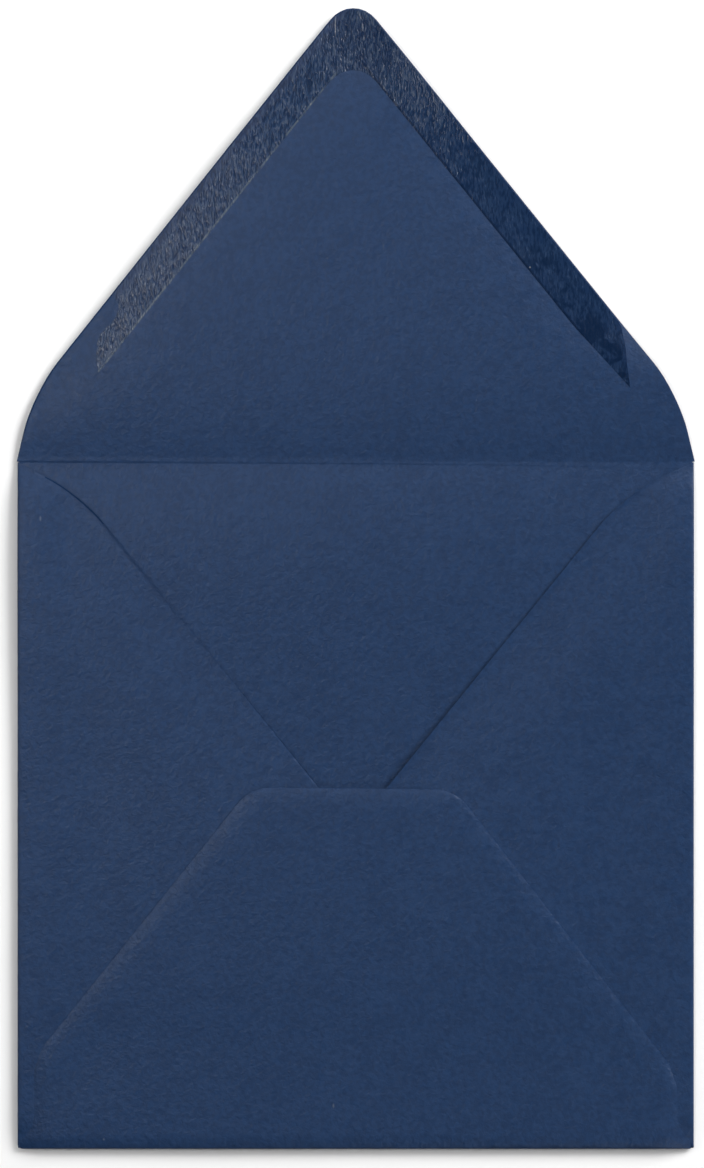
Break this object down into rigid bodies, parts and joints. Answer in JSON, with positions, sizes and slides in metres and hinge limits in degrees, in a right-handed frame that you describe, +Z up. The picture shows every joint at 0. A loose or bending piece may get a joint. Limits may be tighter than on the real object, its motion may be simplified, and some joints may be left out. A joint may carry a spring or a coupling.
{
  "type": "paper envelope",
  "caption": "Square paper envelope lying open: pointed gummed flap spread flat, side flaps folded in and a tapered bottom flap glued over them.",
  "frame": {"origin": "under the middle of the whole length, in the plane that the envelope rests on", "axes": "+X to the right across the envelope, +Y from the bottom fold to the top flap's tip, +Z up from the front panel, which lies face down, to the flaps"},
  "size_m": [0.155, 0.2616, 0.002],
  "materials": {
    "envelope_paper": "matte",
    "dried_gum": "satin",
    "seam_glue": "matte"
  },
  "bodies": {
    "root": {"envelope_sheet": "envelope_paper", "flap_gum": "dried_gum", "seam_glue_left": "seam_glue", "seam_glue_right": "seam_glue"}
  },
  "joints": []
}
